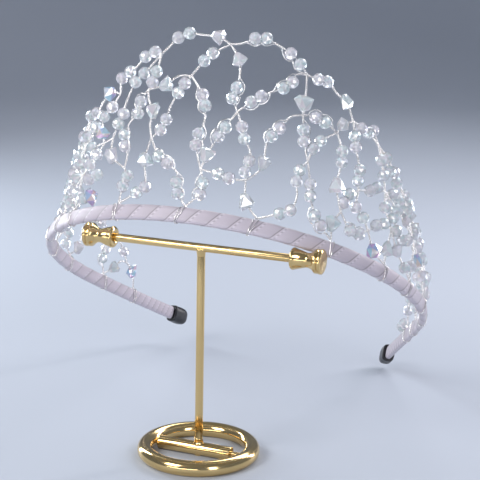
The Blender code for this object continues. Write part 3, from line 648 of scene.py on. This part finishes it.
def bypass(kinds, outs, alongs, tangents):
    """For each station, to which side of its strand the second wire passes: 1, -1, or 0 for neither."""
    towards = {U: 0 * alongs + UP, D: 0 * alongs - UP, L: -alongs, R: alongs}
    sides = unit(np.cross(outs, tangents))
    offsets = np.zeros(len(kinds))
    for k, kind in enumerate(kinds):
        if kind in towards:
            offsets[k] = math.copysign(1, float(sides[k] @ towards[kind][k]))
    return offsets


def lay_strand(strand, wires, stones):
    """Adds one strand's twisted wires, and notes where its stones sit and which way they point.

    Both wires run round the strand's path as a double helix, which closes to the path inside a stone.
    Beside a bead that it passes, the second wire stands off by the bead's radius and PASS_GAP, times 1
    less a power of the distance from the bead.
    """
    points, kinds, outs, alongs = strand_stations(strand)
    path, outward, marks = smooth_path(points, outs, PATH_STEP)
    outward = unit(outward)
    tangent = unit(np.gradient(path, axis=0))
    side, over = square_to(tangent, outward)
    steps = np.linalg.norm(np.diff(path, axis=0), axis=1)
    length = np.concatenate([[0], np.cumsum(steps)])
    at = length[marks]
    is_stone = np.array([kind != W for kind in kinds])
    from_stone = np.abs(length[:, None] - at[None, is_stone]).min(axis=1, initial=np.inf)
    open_twist = ramp(from_stone, *TWIST_OPENS)
    offsets = bypass(kinds, outs, alongs, tangent[marks])
    swing = np.zeros(len(path))
    for k in np.flatnonzero(offsets):
        bump = np.clip(1 - (np.abs(length - at[k]) / PASS_REACH) ** PASS_POWER, 0, 1)
        swing = np.where(np.abs(offsets[k] * bump) > np.abs(swing), offsets[k] * bump, swing)
    radius = look().wire_radius / MM
    phase = 2 * math.pi * length / (look().wire_twist / MM)
    twist = radius * (np.cos(phase)[:, None] * side + np.sin(phase)[:, None] * over)
    stand_off = (look().bead_radius / MM + PASS_GAP) * swing[:, None] * side
    calm = np.maximum(open_twist * (1 - np.abs(swing)), LEAST_TWIST)
    wires.tube(path + twist * open_twist[:, None], outward, radius)
    wires.tube(path - twist * calm[:, None] + stand_off, outward, radius)
    for k in np.flatnonzero(is_stone):
        stones.append((kinds[k], path[marks[k]], tangent[marks[k]], outward[marks[k]]))


def wrap_foot(s, wires):
    """Wire wound twice round the hoop at a foot, as a closed loop.

    Its place along the hoop is a cosine of half the turn, so that both windings meet below in a V, and
    the lower end of the V is off to one side by the slant.
    """
    turn = np.linspace(0, 4 * math.pi, 81)
    slant = FOOT_SLANT + FOOT_SLANT_VARIES * math.sin(1.7 * s)
    place = s + FOOT_SPREAD * np.cos(turn / 2) + slant * (1 - np.cos(turn)) / 2
    point, along, inward = hoop_at(place)
    up, across, reach = oblong(turn, 3.4)
    radius = FOOT_THINNER * look().wire_radius / MM
    gap = radius + 0.04
    path = (
        point
        + hoop_axes()[2] * ((BAND_HALF_WIDTH + gap) * up * reach)[:, None]
        + inward * ((BAND_HALF_THICK + gap) * across * reach)[:, None]
    )
    wires.tube(path, along, radius)


def faceted_shell(sections, sides):
    """One cut stone: flat-sided rings up its axis, every second ring turned by half a facet.

    Returns the corners as (across, through, along), and triangles between neighbouring rings.
    """
    corners = []
    faces = []
    around = np.arange(sides)
    for row, (height, wide, deep) in enumerate(sections):
        turn = 2 * math.pi * (around + 0.5 * (row % 2)) / sides
        ring = (wide * np.cos(turn), deep * np.sin(turn), np.full(sides, height))
        corners.append(np.stack(ring, axis=-1))
    for row in range(len(sections) - 1):
        low = row * sides + around
        low_next = np.roll(low, -1)
        high, high_next = low + sides, low_next + sides
        upper, lower = (high, low_next) if row % 2 == 0 else (high_next, low)
        faces.append(np.stack([low, low_next, upper], axis=-1))
        faces.append(np.stack([lower, high_next, high], axis=-1))
    count = len(sections) * sides
    top = count - sides + around
    corners.append([[0, 0, sections[0][0] - POLE], [0, 0, sections[-1][0] + POLE]])
    faces.append(np.stack([np.roll(around, -1), around, np.full(sides, count)], axis=-1))
    faces.append(np.stack([top, np.roll(top, -1), np.full(sides, count + 1)], axis=-1))
    return np.vstack(corners), np.vstack(faces)


def set_stones(name, stones):
    """Places the cut stones of a stretch, each cut a little differently by sines of its number.

    A bead is turned about its wire by its own golden-angle share. Each face carries its stone's tint,
    1 if the stone is vivid, and its facet's own shade.
    """
    size = look().bead_radius / MM
    bead = [(size * along, size * wide, size * wide) for along, wide in BEAD_SECTIONS]
    shells = Shells()
    layers = {"tint": [], "vivid": [], "facet": []}
    for is_chip, sections, sides in ((False, bead, BEAD_SIDES), (True, CHIP_SECTIONS, CHIP_SIDES)):
        chosen = [k for k, stone in enumerate(stones) if (stone[0] in (C, V)) == is_chip]
        if not chosen:
            continue
        corners, faces = faceted_shell(sections, sides)
        number = np.array(chosen) + sum(map(ord, name))
        strong = np.array([stones[k][0] == V for k in chosen], float)
        centre, tangent, outward = (np.array([stones[k][field] for k in chosen]) for field in (1, 2, 3))
        side, over = square_to(tangent, outward)
        spin = CHIP_SWAY * np.sin(number * 1.7) if is_chip else number * GOLDEN_ANGLE
        turned_side = np.cos(spin)[:, None] * side + np.sin(spin)[:, None] * over
        turned_over = np.cross(tangent, turned_side)
        wave = np.sin(number[:, None] * 3.1 + np.arange(len(corners)) * 2.3)
        wobble = 1 + (CHIP_UNEVEN if is_chip else BEAD_UNEVEN) * wave
        local = corners * wobble[..., None]
        if is_chip:
            local *= (0.94 + 0.08 * np.sin(number * 5.1))[:, None, None]
            # About every second chip hangs the other way up: half a turn about its flat axis.
            over_end = np.where(np.sin(number * 2.7) < 0, -1.0, 1.0)
            local *= np.stack([over_end, np.ones(len(number)), over_end], axis=-1)[:, None]
        placed = centre[:, None] + (
            local[..., 0:1] * turned_side[:, None]
            + local[..., 1:2] * turned_over[:, None]
            + local[..., 2:3] * tangent[:, None]
        )
        shells.copies(placed, faces)
        facet = number[:, None] * 0.37 + np.arange(len(faces)) * 0.754
        layers["tint"].append(np.repeat((number * GOLDEN_SHARE) % 1, len(faces)))
        layers["vivid"].append(np.repeat(strong, len(faces)))
        layers["facet"].append((facet % 1).ravel())
    thing = shells.build(name, smooth=False)
    for layer, values in layers.items():
        add_values(thing, layer, np.concatenate(values), "FACE")
    return thing


def new_material(name, **values):
    """A new material, its node tree, and its Principled surface with the values set."""
    material = bpy.data.materials.new(name)
    material.use_nodes = True
    surface = material.node_tree.nodes["Principled BSDF"]
    for key, value in values.items():
        surface.inputs[key.replace("_", " ").title().replace("Ior", "IOR")].default_value = value
    return material, material.node_tree, surface


def connect(socket, value):
    """Links a node's input to another node's output, or sets it to a plain value."""
    if isinstance(value, bpy.types.NodeSocket):
        socket.id_data.links.new(value, socket)
    else:
        socket.default_value = value


def math_of(tree, operation, *values):
    node = tree.nodes.new("ShaderNodeMath")
    node.operation = operation
    for socket, value in zip(node.inputs, values):
        connect(socket, value)
    return node.outputs[0]


def ramp_of(tree, factor, stops):
    """The colour that a ramp of (place, colour) stops gives for the factor."""
    node = tree.nodes.new("ShaderNodeValToRGB")
    elements = node.color_ramp.elements
    while len(elements) < len(stops):
        elements.new(0.5)
    for element, (place, colour) in zip(elements, stops):
        element.position = place
        element.color = (*colour, 1)
    connect(node.inputs["Fac"], factor)
    return node.outputs["Color"]


def mix_of(tree, factor, first, second):
    """A mix of two colours, which are inputs 6 and 7 of the node, and output 2."""
    node = tree.nodes.new("ShaderNodeMix")
    node.data_type = "RGBA"
    connect(node.inputs["Factor"], factor)
    connect(node.inputs[6], first)
    connect(node.inputs[7], second)
    return node.outputs[2]


def attribute_of(tree, name):
    node = tree.nodes.new("ShaderNodeAttribute")
    node.attribute_name = name
    return node.outputs["Fac"]


def mottle_group():
    """Shared fine variation: a noise in object space that shifts a colour, a roughness and a height."""
    existing = bpy.data.node_groups.get("mottle")
    if existing:
        return existing
    group = bpy.data.node_groups.new("mottle", "ShaderNodeTree")
    for direction, name, default in (
        ("INPUT", "Colour", (0.5, 0.5, 0.5, 1)), ("INPUT", "Scale", 300.0), ("INPUT", "Amount", 0.1),
        ("INPUT", "Roughness", 0.2), ("OUTPUT", "Colour", None), ("OUTPUT", "Roughness", None),
        ("OUTPUT", "Height", None),
    ):
        kind = "NodeSocketColor" if name == "Colour" else "NodeSocketFloat"
        socket = group.interface.new_socket(name, in_out=direction, socket_type=kind)
        if default is not None:
            socket.default_value = default
    given = group.nodes.new("NodeGroupInput").outputs
    result = group.nodes.new("NodeGroupOutput").inputs
    place = group.nodes.new("ShaderNodeTexCoord")
    noise = group.nodes.new("ShaderNodeTexNoise")
    noise.inputs["Detail"].default_value = 4
    connect(noise.inputs["Vector"], place.outputs["Object"])
    connect(noise.inputs["Scale"], given["Scale"])
    shift = math_of(group, "SUBTRACT", noise.outputs["Fac"], 0.5)
    shift = math_of(group, "MULTIPLY", shift, given["Amount"])
    bright = group.nodes.new("ShaderNodeHueSaturation")
    connect(bright.inputs["Color"], given["Colour"])
    connect(bright.inputs["Value"], math_of(group, "ADD", shift, 1.0))
    connect(result["Colour"], bright.outputs["Color"])
    connect(result["Roughness"], math_of(group, "ADD", shift, given["Roughness"]))
    connect(result["Height"], noise.outputs["Fac"])
    return group


def mottle(surface, colour, scale, amount, roughness):
    """Feeds a surface its colour and roughness through the shared variation; returns its height."""
    node = surface.id_data.nodes.new("ShaderNodeGroup")
    node.node_tree = mottle_group()
    for name, value in (("Colour", colour), ("Scale", scale), ("Amount", amount), ("Roughness", roughness)):
        connect(node.inputs[name], value)
    connect(surface.inputs["Base Color"], node.outputs["Colour"])
    connect(surface.inputs["Roughness"], node.outputs["Roughness"])
    return node.outputs["Height"]


def plain_material(name, colour, scale, amount, roughness, metallic=0.0):
    """One colour and one roughness, both with the shared variation."""
    material, _, surface = new_material(name, metallic=metallic)
    mottle(surface, (*colour, 1), scale, amount, roughness)
    return material


def crystal_material():
    """Clear cut crystal with a rainbow coat: each stone has its tint, and each facet its share of it."""
    material, tree, surface = new_material(
        "rainbow_crystal", roughness=0.0, metallic=0.0, transmission_weight=0.6, ior=1.6, coat_weight=1.0,
        coat_ior=1.8, thin_film_thickness=420.0, thin_film_ior=1.45,
    )
    facet = attribute_of(tree, "facet")
    mixed = math_of(tree, "MULTIPLY_ADD", facet, 0.55, attribute_of(tree, "tint"))
    shade = ramp_of(tree, math_of(tree, "FRACT", mixed), CRYSTAL_TINTS)
    strong = ramp_of(tree, facet, VIVID_TINTS)
    vivid = math_of(tree, "MULTIPLY", attribute_of(tree, "vivid"), 0.6)
    connect(surface.inputs["Base Color"], mix_of(tree, vivid, shade, strong))
    return material


def ribbon_material():
    """Satin ribbon: fine cross threads, a dotted selvedge beside each edge, painted shade as a dark line in
    the crease under it, and a painted highlight on the raised edge.

    The mesh carries turn, which grows by one from edge to edge, and around, once round the hoop.
    """
    material, tree, surface = new_material(
        "satin_ribbon", metallic=0.0, sheen_weight=0.35, sheen_roughness=0.4, coat_roughness=0.3,
        anisotropic=0.5,
    )
    turn, around = attribute_of(tree, "turn"), attribute_of(tree, "around")
    part = math_of(tree, "FRACT", turn)
    base = np.array(look().ribbon_colour)
    # Painted shade in the crease at each seam and a painted highlight on the raised edge, as shares of the
    # ribbon's colour.
    shade = ramp_of(tree, part, [(place, np.minimum(1, share * base)) for place, share in SATIN_PAINTED_SHADE])
    lane = ramp_of(tree, part, [(place, (level,) * 3) for place, level in SELVEDGE_LANE])
    beat = math_of(tree, "SINE", math_of(tree, "MULTIPLY", around, SELVEDGE_DOTS))
    beat = math_of(tree, "GREATER_THAN", beat, 0.0)
    dots = math_of(tree, "MULTIPLY", beat, lane)
    spot = ramp_of(tree, beat, ((0.0, 0.5 * base), (1.0, (0.86, 0.82, 0.88))))
    spotted = mix_of(tree, math_of(tree, "MULTIPLY", lane, 0.42), shade, spot)
    grain = mottle(surface, spotted, 240.0, 0.16, 0.36)
    threads = math_of(tree, "SINE", math_of(tree, "MULTIPLY", turn, THREADS_ACROSS))
    weave = math_of(tree, "SINE", math_of(tree, "MULTIPLY", around, THREADS_AROUND))
    height = math_of(tree, "ADD", math_of(tree, "MULTIPLY", threads, 0.35), weave)
    height = math_of(tree, "ADD", height, math_of(tree, "MULTIPLY", grain, 2.0))
    bump = tree.nodes.new("ShaderNodeBump")
    bump.inputs["Strength"].default_value = 0.25
    bump.inputs["Distance"].default_value = 0.04 * MM
    connect(bump.inputs["Height"], math_of(tree, "ADD", height, dots))
    connect(surface.inputs["Normal"], bump.outputs["Normal"])
    return material


def band_rings(s, half_width, half_thick, sides):
    """Sections of the hoop: circles pulled towards a rounded oblong (power 3.2), square to its line."""
    point, _, inward = hoop_at(s)
    wide, thick, reach = oblong(turns(sides), 3.2)
    return (
        point[:, None]
        + hoop_axes()[2] * (half_width * wide * reach)[..., None]
        + inward[:, None] * (half_thick * thick * reach)[..., None]
    )


class HEADBAND_OT_ribbon(bpy.types.Operator):
    """Winds the satin ribbon round the hoop"""

    bl_idname = "headband.ribbon"
    bl_label = "Ribbon-wound hoop"

    def execute(self, context):
        end = HOOP_REACH - CAP_LENGTH + RIBBON_UNDER_TIP
        s = np.linspace(-end, end, RIBBON_ROWS)
        around = np.arange(RIBBON_SIDES) / RIBBON_SIDES
        # The ribbon is wound closer and closer towards the tips.
        pitch = look().ribbon_turn / MM
        closer = 1 + RIBBON_CLOSER * ramp(np.abs(s), *RIBBON_CLOSES)
        count = np.cumsum(np.full(len(s), (s[1] - s[0]) / pitch) * closer)
        turn = count[:, None] - 2 * around
        part = turn % 1
        # Each turn thins from its upper edge to its lower one, with a faint ruffle.
        edge = ramp(part, 0, 0.05) * ramp(part, 1, -0.02)
        thickness = 0.1 + 0.1 * (1 - part) * edge
        ruffle = 0.012 * np.sin(turn * 6.283 + around * 18.85) * edge
        raised = thickness + ruffle - RIBBON_ROOM
        rings = band_rings(s, BAND_HALF_WIDTH + raised, BAND_HALF_THICK + raised, RIBBON_SIDES)
        shells = Shells()
        shells.grid(rings[::-1], hoop_at(end)[0], hoop_at(-end)[0])
        for sign in (-1, 1):
            reach = sign * np.linspace(end - 0.5, HOOP_REACH - CORE_SHORT, 8)[::-sign]
            core = band_rings(reach, CORE_HALF_WIDTH, CORE_HALF_THICK, 24)
            shells.grid(core, hoop_at(reach[0])[0], hoop_at(reach[-1])[0])
        thing = shells.build("ribbon_wound_hoop")
        rest = np.zeros(len(thing.data.vertices) - turn.size)
        for name, values in (("turn", turn[::-1]), ("around", np.broadcast_to(around, turn.shape))):
            add_values(thing, name, np.concatenate([values.ravel(), rest]), "POINT")
        finish_piece(thing, ribbon_material(), "satin_ribbon", "ribbon_band")
        return {"FINISHED"}


class HEADBAND_OT_tips(bpy.types.Operator):
    """Puts a soft black cap on each end of the hoop"""

    bl_idname = "headband.tips"
    bl_label = "End tips"

    def execute(self, context):
        material = plain_material("black_tip", (0.018, 0.018, 0.022), 500.0, 0.2, 0.32)
        start = HOOP_REACH - CAP_LENGTH + CAP_SHORT
        along, size = np.array(CAP_PROFILE).T
        for name, sign in (("tip_cap_left", -1), ("tip_cap_right", 1)):
            # The outside from the round end to the lip, then back down the inner wall.
            rows = sign * np.concatenate([start + along, [start, HOOP_REACH - CAP_END]])[::sign]
            wide = np.concatenate([CAP_HALF_WIDTH * size, [CAP_ROOM[0]] * 2])[::sign]
            thick = np.concatenate([CAP_HALF_THICK * size, [CAP_ROOM[1]] * 2])[::sign]
            rings = band_rings(rows, wide[:, None], thick[:, None], 40)
            shells = Shells()
            shells.grid(rings, hoop_at(rows[0])[0], hoop_at(rows[-1])[0])
            finish_piece(shells.build(name + "_finished"), material, "black_tip", name)
        return {"FINISHED"}


class HEADBAND_OT_web(bpy.types.Operator):
    """Lays the twisted wires of the web and strings its cut stones"""

    bl_idname = "headband.web"
    bl_label = "Crystal web"

    def execute(self, context):
        wire = plain_material("bright_wire", look().wire_colour, 700.0, 0.15, 0.22, metallic=1.0)
        crystal = crystal_material()
        wrapped = set()
        for name, strands in WEB.items():
            wires = Shells()
            stones = []
            for strand in strands:
                lay_strand(strand, wires, stones)
                for end in strand[:2]:
                    if end in FEET and end not in wrapped:
                        wrapped.add(end)
                        wrap_foot(FEET[end], wires)
            finish_piece(wires.build(name + "_wires"), wire, "crystal_and_wire", name)
            finish_piece(set_stones(name + "_stones", stones), crystal, "crystal_and_wire", name)
        return {"FINISHED"}


def turned(profile, origin, axis, sides):
    """A profile of (distance along the axis, radius) turned once round the axis."""
    axis = unit(np.asarray(axis, float))
    side = unit(np.cross(axis, UP if abs(axis[2]) < 0.9 else np.array([1.0, 0, 0])))
    over = np.cross(axis, side)
    along, radius = np.array(profile, float).T
    turn = turns(sides)[:, None]
    ring = side * np.cos(turn) + over * np.sin(turn)
    return np.asarray(origin, float) + along[:, None, None] * axis + radius[:, None, None] * ring


def rounded_rod(length, radius, bevel):
    """Profile of a rod whose ends are rounded by a quarter circle."""
    arc = np.linspace(0, math.pi / 2, 5)
    start = [(bevel * (1 - math.sin(a)), radius - bevel * (1 - math.cos(a))) for a in arc[::-1]]
    stop = [(length - along, reach) for along, reach in start[::-1]]
    return start + stop


class HEADBAND_OT_stand(bpy.types.Operator):
    """Turns and solders the brass stand"""

    bl_idname = "headband.stand"
    bl_label = "Display stand"

    def execute(self, context):
        brass = plain_material("polished_brass", look().brass_colour, 160.0, 0.12, 0.13, metallic=1.0)
        shells = Shells()
        # The base ring: a circle carried round the axis, cut flat where it stands on the table.
        turn, swing = turns(144)[:, None], turns(40)
        out = RING_RADIUS + RING_TUBE * np.cos(swing)
        height = np.maximum(RING_LIFT + RING_TUBE * np.sin(swing), 0.0) + 0 * turn
        ring = np.stack([np.cos(turn) * out, np.sin(turn) * out, height], axis=-1)
        shells.grid(ring[:, ::-1], loop=True)
        # Length, radius, bevel, start and axis: the cross rod, its pegs, the post and the bar.
        for length, radius, bevel, origin, axis in (
            (CROSS_LEFT + CROSS_RIGHT, CROSS_RADIUS, 0.25, (-CROSS_LEFT, 0, RING_LIFT), (1, 0, 0)),
            (2 * RING_RADIUS, PEG_RADIUS, 0.1, (-RING_RADIUS, 0, RING_LIFT), (1, 0, 0)),
            (BAR_HEIGHT, ROD_RADIUS, 0.1, (0, 0, 0), (0, 0, 1)),
            (2 * BAR_HALF, ROD_RADIUS, 0.25, (-BAR_HALF, 0, BAR_HEIGHT), (1, 0, 0)),
        ):
            rings = turned(rounded_rod(length, radius, bevel), origin, axis, 40)
            shells.grid(rings, origin, np.array(origin, float) + np.array(axis, float) * length)
        # Solder fillets: a flare whose radius falls off as the square of the distance from the joint.
        reach = np.linspace(0, SOLDER_REACH, 9)
        flare = ROD_RADIUS + 0.02 + 0.5 * (1 - reach / SOLDER_REACH) ** 2
        for level, heading in ((RING_LIFT + CROSS_RADIUS - 0.9, 1.0), (BAR_HEIGHT - 0.4, -1.0)):
            rings = turned(np.stack([reach, flare], axis=-1), (0, 0, level), (0, 0, heading), 40)
            shells.grid(rings, (0, 0, level), (0, 0, level + heading * SOLDER_REACH))
        finish_piece(shells.build("brass_stand"), brass, "polished_brass", "stand_frame")
        depth = FINIAL_END - BAR_HALF - FINIAL_GAP
        for name, sign in (("finial_left", -1), ("finial_right", 1)):
            shells = Shells()
            origin = (sign * FINIAL_END, 0, BAR_HEIGHT)
            rings = turned((*FINIAL_PROFILE, (depth, FINIAL_BORE)), origin, (-sign, 0, 0), 56)
            shells.grid(rings, origin, (sign * (FINIAL_END - depth), 0, BAR_HEIGHT))
            finish_piece(shells.build(name + "_finished"), brass, "polished_brass", name)
        return {"FINISHED"}


class HEADBAND_OT_stage(bpy.types.Operator):
    """Adds the pale floor, soft lights and the camera"""

    bl_idname = "headband.stage"
    bl_label = "Floor, lights and camera"

    def execute(self, context):
        scene = context.scene
        # A round dish: flat in the middle, then a quarter circle up into an upright wall all round.
        climb = np.linspace(0, math.pi / 2, 13)
        reach = FLOOR_FLAT + FLOOR_CURVE * np.sin(climb)
        rise = FLOOR_CURVE * (1 - np.cos(climb))
        profile = [(0, FLOOR_FLAT / 4), (0, FLOOR_FLAT / 2), *zip(rise, reach)]
        profile.append((FLOOR_WALL, FLOOR_FLAT + FLOOR_CURVE))
        shells = Shells()
        shells.grid(turned(profile, (0, 0, 0), UP, 96)[:, ::-1], (0, 0, 0))
        floor = shells.build("floor")
        floor.data.materials.append(plain_material("pale_floor", (0.5, 0.54, 0.62), 12.0, 0.02, 0.6))
        for name, place, size, power, colour in LIGHTS:
            lamp = bpy.data.lights.new(name, "AREA")
            lamp.shape = "RECTANGLE"
            lamp.size, lamp.size_y = size[0] * MM, size[1] * MM
            lamp.energy = power
            lamp.color = colour
            holder = bpy.data.objects.new(name, lamp)
            where = Vector(place) * MM
            aim = Vector(LIGHT_TARGET) * MM - where
            turn = aim.to_track_quat("-Z", "Y").to_matrix().to_4x4()
            holder.matrix_world = Matrix.Translation(where) @ turn
            scene.collection.objects.link(holder)
        world = bpy.data.worlds.new("studio")
        scene.world = world
        world.use_nodes = True
        ground = world.node_tree.nodes["Background"]
        ground.inputs["Color"].default_value = (0.62, 0.66, 0.74, 1)
        ground.inputs["Strength"].default_value = 0.34
        place_camera(scene)
        scene.view_settings.view_transform = "Standard"
        return {"FINISHED"}


def place_camera(scene):
    """The photograph's viewpoint: a long lens, a little above the stand and to its right."""
    right = np.array([math.cos(CAMERA_AZIMUTH), math.sin(CAMERA_AZIMUTH), 0])
    front = np.array([math.sin(CAMERA_AZIMUTH), -math.cos(CAMERA_AZIMUTH), 0])
    back = front * math.cos(CAMERA_ELEVATION) + UP * math.sin(CAMERA_ELEVATION)
    up = np.cross(back, right)
    where = CAMERA_TARGET + back * CAMERA_DISTANCE + right * CAMERA_SHIFT[0] + up * CAMERA_SHIFT[1]
    rolled_right = math.cos(CAMERA_ROLL) * right + math.sin(CAMERA_ROLL) * up
    rolled_up = math.cos(CAMERA_ROLL) * up - math.sin(CAMERA_ROLL) * right
    lens = bpy.data.cameras.new("camera")
    lens.lens = CAMERA_LENS
    lens.sensor_width = 36.0
    lens.clip_start = 0.01
    camera = bpy.data.objects.new("camera", lens)
    turn = Matrix((rolled_right, rolled_up, back)).transposed().to_4x4()
    camera.matrix_world = Matrix.Translation(Vector(where * MM)) @ turn
    scene.collection.objects.link(camera)
    scene.camera = camera


class HEADBAND_PT_panel(bpy.types.Panel):
    """Lists the pieces in the sidebar"""

    bl_idname = "HEADBAND_PT_panel"
    bl_label = "Headband"
    bl_space_type = "VIEW_3D"
    bl_region_type = "UI"
    bl_category = "Headband"

    def draw(self, context):
        for name in HeadbandLook.__annotations__:
            self.layout.prop(look(), name)
        for operator in OPERATORS:
            self.layout.operator(operator.bl_idname)


OPERATORS = (HEADBAND_OT_ribbon, HEADBAND_OT_tips, HEADBAND_OT_web, HEADBAND_OT_stand, HEADBAND_OT_stage)
CLASSES = (HeadbandLook, *OPERATORS, HEADBAND_PT_panel)


def register():
    for kind in CLASSES:
        bpy.utils.register_class(kind)
    bpy.types.Scene.headband_look = bpy.props.PointerProperty(type=HeadbandLook)


def unregister():
    del bpy.types.Scene.headband_look
    for kind in reversed(CLASSES):
        bpy.utils.unregister_class(kind)


def main():
    register()
    bpy.ops.headband.ribbon()
    bpy.ops.headband.tips()
    bpy.ops.headband.web()
    bpy.ops.headband.stand()
    bpy.ops.headband.stage()
    bpy.context.view_layer.update()


if __name__ == "__main__":
    main()
